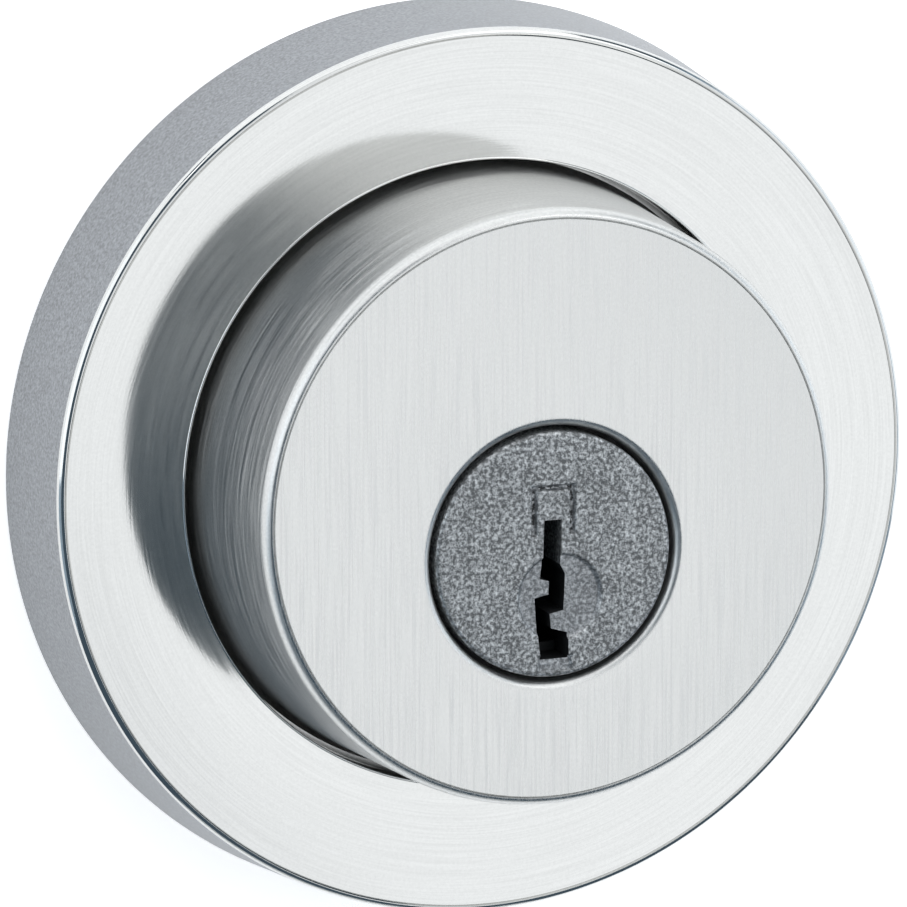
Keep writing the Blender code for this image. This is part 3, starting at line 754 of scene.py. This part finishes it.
def cross_recess(piece, centre, reach, low, high):
    """Cuts a cross for a driver into the head of a screw that lies along X."""
    slot = 0.35 * MM
    for half in ((reach, slot), (slot, reach)):
        outline = [(-half[0], -half[1]), (half[0], -half[1]), (half[0], half[1]), (-half[0], half[1])]
        shape = prism(outline, low, high)
        carve(piece, turned_to_x(shape, centre))


class LOCKSET_OT_interior_rose(bpy.types.Operator):
    """Makes the interior rose, the exterior one's twin, with its set screw hole"""
    bl_idname = "lockset.interior_rose"
    bl_label = "Interior rose"

    def execute(self, context):
        trim, look = context.scene.lockset_trim, finishes()
        centre = middle("interior_rose")
        exterior = rose_profile(trim, trim.hole_radius, ROSE_FRONT, DOOR_FRONT)
        shape = turned([(radius, DOOR_BACK + DOOR_FRONT - y) for radius, y in exterior], centre=centre)
        rose = make_piece("rose_interior", shape, [look["face"], look["wall"]])
        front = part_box("interior_rose")[1].y
        paint_rose(rose, centre, front, 1)
        screw = middle("rose_set_screw")
        drill = bmesh.new()
        radius = 1.5 * MM
        bmesh.ops.create_cone(drill, cap_ends=True, segments=48, radius1=radius, radius2=radius,
                              depth=8 * MM)
        bmesh.ops.translate(drill, verts=drill.verts, vec=(screw.x, screw.y, centre.z - ROSE_RADIUS))
        carve(rose, drill)
        stand_for(rose, "lock_body", "satin_chrome", "interior_rose")
        return {"FINISHED"}


class LOCKSET_OT_thumbturn(bpy.types.Operator):
    """Makes the thumbturn: a round hub with an upright grip, on a slotted shaft"""
    bl_idname = "lockset.thumbturn"
    bl_label = "Thumbturn"

    def execute(self, context):
        trim, look = context.scene.lockset_trim, finishes()
        low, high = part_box("thumbturn")
        back, front = DOOR_BACK + 5.2 * MM, DOOR_BACK + 13.5 * MM
        shaft, groove, shaft_end = 6.5 * MM, 5.4 * MM, low.y
        groove_low, groove_high = DOOR_BACK - 2.1 * MM, DOOR_BACK - 0.4 * MM
        lead_in, edge, round_over = 0.4 * MM, 0.2 * MM, 0.8 * MM
        lip = (trim.collar_face - round_over, front - round_over)
        outline = [
            (0, shaft_end), (shaft - lead_in, shaft_end), (shaft, shaft_end + lead_in),
            (shaft, groove_low), (groove, groove_low), (groove, groove_high),
            (shaft, groove_high), (shaft, back), (trim.collar_base - edge, back),
            (trim.collar_base, back + edge), *arc(lip, round_over, 0, 90, 10), (0, front),
        ]
        turn = make_piece("thumbturn_finished", turned(outline), [look["side"], look["upright"]])
        length, width = 35.0 * MM, 7.8 * MM
        grip = prism(stadium(length, width), front - SLACK, high.y)
        soften(grip, lambda place: place.y > high.y - 0.01 * MM, 1.2 * MM)
        carve(turn, grip, "UNION")
        tail = half_size("tailpiece")
        half_x, half_z = 1.25 * MM, tail.z + 0.3 * MM
        slot = [(-half_x, -half_z), (half_x, -half_z), (half_x, half_z), (-half_x, half_z)]
        carve(turn, prism(slot, shaft_end - SLACK, DOOR_BACK + 3.5 * MM))

        def chosen(place, normal):
            on_grip = place.y > front + 0.01 * MM
            return 1 if on_grip or (normal.y > 0.9 and place.y > front - 0.1 * MM) else 0
        paint(turn, chosen)
        stand_for(turn, "turn_assembly", "satin_chrome", "thumbturn")
        return {"FINISHED"}


def plate_outline(length, width, radius, steps=10):
    """A plate with round corners, as (across, z)."""
    across, z = width / 2 - radius, length / 2 - radius
    corners = [((across, z), 0), ((-across, z), 90), ((-across, -z), 180), ((across, -z), 270)]
    return [point for centre, start in corners for point in arc(centre, radius, start, start + 90, steps)]


def bar_outline(radius, half, steps=18):
    """A round bar with two flat sides, as (across, z)."""
    meet = math.degrees(math.acos(half / radius))
    upper = arc((0, 0), radius, meet, 180 - meet, steps)
    return upper + arc((0, 0), radius, 180 + meet, 360 - meet, steps)


def along_x(outline, low, high):
    """A solid between two planes across X from an (across, z) outline centred on the latch."""
    shape = prism([(-across, z) for across, z in outline], low, high)
    bmesh.ops.rotate(shape, verts=shape.verts, matrix=Matrix.Rotation(-math.pi / 2, 3, "Z"))
    bmesh.ops.translate(shape, verts=shape.verts, vec=(0, LATCH_Y, 0))
    return shape


class LOCKSET_OT_latch_front(bpy.types.Operator):
    """Makes the latch's faceplate and its two wood screws"""
    bl_idname = "lockset.latch_front"
    bl_label = "Latch faceplate"

    def execute(self, context):
        look = finishes()
        low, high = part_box("latch_faceplate")
        edge = 0.4 * MM
        shape = along_x(plate_outline(high.z - low.z, high.y - low.y, 6 * MM), low.x, high.x)
        soften(shape, lambda place: place.x < low.x + 0.01 * MM, edge, 3)
        plate = make_piece("faceplate", shape, [look["upright"]])
        bolt_low, bolt_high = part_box("bolt")
        radius, half = bolt_high.z + 0.3 * MM, (bolt_high.y - bolt_low.y) / 2 + 0.3 * MM
        carve(plate, along_x(bar_outline(radius, half), low.x - SLACK, high.x + SLACK))
        head, hole, pitch = 3.7 * MM, 2.2 * MM, 1.3 * MM
        core, crest = 1.3 * MM, 1.9 * MM
        sunk, neck, shank, tip = 0.1 * MM, 2.1 * MM, 15 * MM, 3.9 * MM
        for name in ("upper", "lower"):
            node = f"faceplate_screw_{name}"
            place = (low.x, LATCH_Y, middle(node).z)
            sink = [(0, -SLACK), (head + 1.3 * MM, -SLACK), (hole, neck), (hole, 4 * MM), (0, 4 * MM)]
            carve(plate, turned_to_x(turned(sink, 64), place))
            rings = [(0.4 * MM, 0, sunk), (head - 0.2 * MM, 0, sunk)]
            rings += [(head, 0, 0.3 * MM), (crest, 0, neck)]
            rings += thread_rings(core, crest, 2.4 * MM, shank, pitch, 0.8 * MM)
            for step in range(1, 12):
                left = 1 - step / 12
                rings.append((core * left, 0.5 * MM * left, shank + tip * step / 12))
            shape = turned_to_x(threaded(rings, pitch), place)
            screw = make_piece(f"wood_screw_{name}", shape, [look["zinc"]])
            cross_recess(screw, place, 1.9 * MM, -SLACK, 1.3 * MM)
            stand_for(screw, "lock_body", "zinc_plated_steel", node)
        stand_for(plate, "lock_body", "satin_chrome", "latch_faceplate")
        return {"FINISHED"}


class LOCKSET_OT_bolt(bpy.types.Operator):
    """Makes the bolt, a round bar with two flat sides and a bevelled nose"""
    bl_idname = "lockset.bolt"
    bl_label = "Bolt"

    def execute(self, context):
        look = finishes()
        low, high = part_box("bolt")
        gap = 0.3 * MM
        shape = along_x(bar_outline(high.z, (high.y - low.y) / 2, 28), low.x, high.x)
        soften(shape, lambda place: place.x < low.x + 0.01 * MM, 0.7 * MM, 5)
        bolt = make_piece("bolt_bar", shape, [look["length"]])
        rod_low, rod_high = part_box("anti_saw_pin")
        hole = arc((0, 0), (rod_high.z - rod_low.z) / 2 + gap, 0, 360, 40)[:-1]
        carve(bolt, along_x(hole, rod_low.x - 0.5 * MM, high.x + SLACK))
        bar_low, bar_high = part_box("draw_bar")
        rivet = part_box("draw_bar_pin")
        top = rivet[1].z + 0.8 * MM + gap
        sides = (bar_low.y - LATCH_Y - gap, bar_high.y - LATCH_Y + gap)
        bottom = low.z - SLACK
        notch = [(-sides[0], bottom), (-sides[1], bottom), (-sides[1], top), (-sides[0], top)]
        carve(bolt, along_x(notch, bar_low.x - 0.5 * MM, high.x + SLACK))
        centre, reach = middle("draw_bar_pin"), half_size("draw_bar_pin").x + gap
        drill = arc((centre.x, centre.z), reach, 0, 360, 24)[:-1]
        carve(bolt, prism(drill, rivet[0].y - 0.7 * MM, rivet[1].y + SLACK))
        stand_for(bolt, "bolt", "satin_chrome", "bolt")
        return {"FINISHED"}


class LOCKSET_OT_pin_springs(bpy.types.Operator):
    """Makes the round-wire springs over the driver pins"""
    bl_idname = "lockset.pin_springs"
    bl_label = "Pin springs"

    def execute(self, context):
        look = finishes()
        wire, turns = 0.2 * MM, 5
        for number in PIN_NUMBERS:
            node = f"pin_spring_{number}"
            low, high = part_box(node)
            shape = coil(half_size(node).x - wire, wire, low.z, high.z, turns, middle(node))
            spring = make_piece(f"round_spring_{number}", shape, [look["spring"]])
            stand_for(spring, "lock_body", "spring_steel", node)
            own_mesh(spring)
        return {"FINISHED"}


class LOCKSET_OT_mounting_screws(bpy.types.Operator):
    """Makes the two machine screws that clamp the door between both sides"""
    bl_idname = "lockset.mounting_screws"
    bl_label = "Mounting screws"

    def execute(self, context):
        look = finishes()
        pitch, core, crest, neck = 0.8 * MM, 1.6 * MM, 2.0 * MM, 1.9 * MM
        head_radius, round_over, middle_radius = 3.6 * MM, 1.0 * MM, 0.3 * MM
        for name in ("left", "right"):
            node = f"mounting_screw_{name}"
            low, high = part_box(node)
            head = high.y - 2.0 * MM
            rings = [(middle_radius, 0, low.y), (1.5 * MM, 0, low.y), (core, 0, low.y + 0.3 * MM)]
            rings += thread_rings(core, crest, low.y + 0.4 * MM, head - 0.6 * MM, pitch, 0.8 * MM)
            rings += [(neck, 0, head - 0.5 * MM), (neck, 0, head)]
            rings += [(head_radius, 0, head), (head_radius, 0, head + 0.9 * MM)]
            dome = arc((head_radius - round_over, head + round_over), round_over, 0, 90, 8)
            rings += [(radius, 0, y) for radius, y in dome]
            rings += [(middle_radius, 0, high.y)]
            screw = make_piece(f"machine_screw_{name}", threaded(rings, pitch), [look["zinc"]])
            screw.location.x = middle(node).x
            bpy.context.view_layer.update()
            stand_for(screw, "lock_body", "zinc_plated_steel", node)
        return {"FINISHED"}


NODE_FINISH = {
    # Painted shade: the base plate and housing are made black so that the deep gaps round the collar and
    # plug look dark.
    "black": ["exterior_base", "cylinder_housing"],
    "brass": [f"{kind}_pin_{number}" for kind in ("key", "driver") for number in PIN_NUMBERS],
    "spring": ["detent_spring", "turn_wave_washer", "turn_retaining_clip", "cylinder_clip"],
    "nylon": ["turn_bushing"],
}


class LOCKSET_OT_carried_over(bpy.types.Operator):
    """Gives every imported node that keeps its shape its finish"""
    bl_idname = "lockset.carried_over"
    bl_label = "Carried-over parts"

    def execute(self, context):
        look = finishes()
        by_node = {node: key for key, nodes in NODE_FINISH.items() for node in nodes}
        for name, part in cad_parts.items():
            if part.hide_render:
                continue
            part.data.materials.clear()
            part.data.materials.append(look[by_node.get(name, "zinc")])
        return {"FINISHED"}


# ---------------------------------------------------------------- stage


def stage_material(name, colour, glow):
    """Matt studio paper, with a little light of its own so that it stays pale."""
    material, tree, shader = new_material(name)
    place = add_node(tree, "ShaderNodeTexCoord").outputs["Object"]
    fibres = add_node(tree, "ShaderNodeTexNoise", [("Vector", place)], in_Scale=1 / (3 * MM),
                      in_Detail=4.0)
    shade = ramp(tree, fibres.outputs[0], 0, 1)
    tree.links.new(tint(tree, linear(colour), shade, 0.01), shader.inputs["Base Color"])
    shader.inputs["Roughness"].default_value = 0.9
    shader.inputs["Emission Color"].default_value = linear(colour)
    shader.inputs["Emission Strength"].default_value = glow
    return material


def soft_box(name, place, size, radiance, roll=0.0):
    """A rectangular soft light of even brightness that faces the lock, rolled by degrees."""
    light = bpy.data.lights.new(name, "AREA")
    light.shape = "RECTANGLE"
    light.size, light.size_y = size
    light.energy = radiance * math.pi * size[0] * size[1]
    holder = bpy.data.objects.new(name, light)
    holder.location = place
    facing = (-Vector(place)).to_track_quat("-Z", "Y") @ Quaternion((0, 0, 1), math.radians(roll))
    holder.rotation_euler = facing.to_euler()
    bpy.context.scene.collection.objects.link(holder)
    return holder


def slab(name, low, high, material):
    """A box between two corners."""
    shape = bmesh.new()
    bmesh.ops.create_cube(shape, size=1.0)
    for corner in shape.verts:
        corner.co = [a + (b - a) * (c + 0.5) for a, b, c in zip(low, high, corner.co)]
    return make_piece(name, shape, [material])


class LOCKSET_OT_stage(bpy.types.Operator):
    """Makes the floor, the backdrop card at the door's face, the soft lights and the camera"""
    bl_idname = "lockset.stage"
    bl_label = "Studio stage"

    def execute(self, context):
        scene, stage = context.scene, context.scene.lockset_stage
        paper = stage_material("studio_paper", "E4E4E2", 0.0)
        card_paper = stage_material("backdrop_paper", "FAFAFA", 0.67)
        reach, floor_z, card_y = 0.8, -1.0, DOOR_FRONT + 0.3 * MM
        bore = arc((0, 0), 27 * MM, 0, 360, 64)[:-1]
        square = [(-reach, floor_z), (reach, floor_z), (reach, reach), (-reach, reach)]
        card = make_piece("backdrop_card", prism(square, card_y, card_y + 1 * MM), [card_paper])
        carve(card, prism(bore, card_y - SLACK, card_y + 1 * MM + SLACK))
        wall_paper = stage_material("wall_paper", "CBDDEA", 0.24)
        front, side, rear, sheet = 0.45, 1.5, 1.8, 1 * MM
        below, top = floor_z - sheet, 1.2
        walls = [
            slab("floor", (-front, -front, below), (front, card_y, floor_z), paper),
            slab("rear_floor", (-side, card_y, below), (side, rear, floor_z), paper),
            slab("rear_wall", (-side, rear, floor_z), (side, rear + sheet, top), wall_paper),
            slab("hinge_side_wall", (side, -side, floor_z), (side + sheet, rear, top), wall_paper),
            slab("bolt_side_wall", (-side - sheet, -side, floor_z), (-side, rear, top), wall_paper),
        ]

        soft_box("front_right_box", (0.374, -0.759, 0.079), (0.98, 0.846), 1.04, 39)
        soft_box("front_fill_box", (0.208, -0.751, -0.170), (0.22, 0.30), 0.20, 39)
        soft_box("front_top_box", (0.24, -0.60, 0.46), (0.64, 0.36), 1.0)
        soft_box("left_box", (-0.52, -0.19, 0.21), (0.60, 0.62), 1.25)
        soft_box("top_box", (0.0, -0.25, 0.65), (0.9, 0.6), 1.35)
        soft_box("right_box", (0.75, -0.1, 0.1), (0.5, 0.7), 1.0)
        soft_box("rear_left_box", (0.55, 0.70, 0.15), (0.8, 0.9), 0.62)
        soft_box("rear_right_box", (-0.50, 0.75, 0.35), (0.7, 0.6), 0.6)

        world = bpy.data.worlds.new("studio_air")
        world.use_nodes = True
        world.node_tree.nodes["Background"].inputs[0].default_value = linear("A9CBE6")
        world.node_tree.nodes["Background"].inputs[1].default_value = 0.175
        scene.world = world
        scene.view_settings.view_transform = "Standard"
        scene.view_settings.look = "None"

        target = Vector((TRIM_CENTRE.x, DOOR_FRONT, TRIM_CENTRE.z)) + Vector(stage.target)
        turn, rise = stage.azimuth, stage.elevation
        back = Vector((math.sin(turn) * math.cos(rise), -math.cos(turn) * math.cos(rise), math.sin(rise)))
        camera = bpy.data.cameras.new("camera")
        camera.lens = stage.lens
        camera.sensor_width = 36
        camera.clip_start, camera.clip_end = 0.01, 20
        holder = bpy.data.objects.new("camera", camera)
        holder.location = target + back * stage.distance
        holder.rotation_euler = (-back).to_track_quat("-Z", "Y").to_euler()
        scene.collection.objects.link(holder)
        scene.camera = holder
        return {"FINISHED"}


# ---------------------------------------------------------------- panel and registration


OPERATORS = (
    LOCKSET_OT_exterior_rose,
    LOCKSET_OT_collar,
    LOCKSET_OT_plug,
    LOCKSET_OT_interior_rose,
    LOCKSET_OT_thumbturn,
    LOCKSET_OT_latch_front,
    LOCKSET_OT_bolt,
    LOCKSET_OT_pin_springs,
    LOCKSET_OT_mounting_screws,
    LOCKSET_OT_carried_over,
    LOCKSET_OT_stage,
)


class LOCKSET_PT_panel(bpy.types.Panel):
    """Lists the lockset's pieces and settings"""
    bl_idname = "LOCKSET_PT_panel"
    bl_label = "Lockset"
    bl_space_type = "VIEW_3D"
    bl_region_type = "UI"
    bl_category = "Lockset"

    def draw(self, context):
        for operator in OPERATORS:
            self.layout.operator(operator.bl_idname)
        for group in ("lockset_trim", "lockset_finish", "lockset_stage"):
            settings = getattr(context.scene, group)
            column = self.layout.column()
            for name in settings.bl_rna.properties.keys():
                if name not in ("rna_type", "name"):
                    column.prop(settings, name)


CLASSES = (LocksetTrim, LocksetFinish, LocksetStage, *OPERATORS, LOCKSET_PT_panel)


def register():
    for item in CLASSES:
        bpy.utils.register_class(item)
    bpy.types.Scene.lockset_trim = PointerProperty(type=LocksetTrim)
    bpy.types.Scene.lockset_finish = PointerProperty(type=LocksetFinish)
    bpy.types.Scene.lockset_stage = PointerProperty(type=LocksetStage)


def unregister():
    for group in ("lockset_stage", "lockset_finish", "lockset_trim"):
        delattr(bpy.types.Scene, group)
    for item in reversed(CLASSES):
        bpy.utils.unregister_class(item)


def main():
    register()
    for operator in OPERATORS:
        family, name = operator.bl_idname.split(".")
        getattr(getattr(bpy.ops, family), name)()


if __name__ == "__main__":
    main()
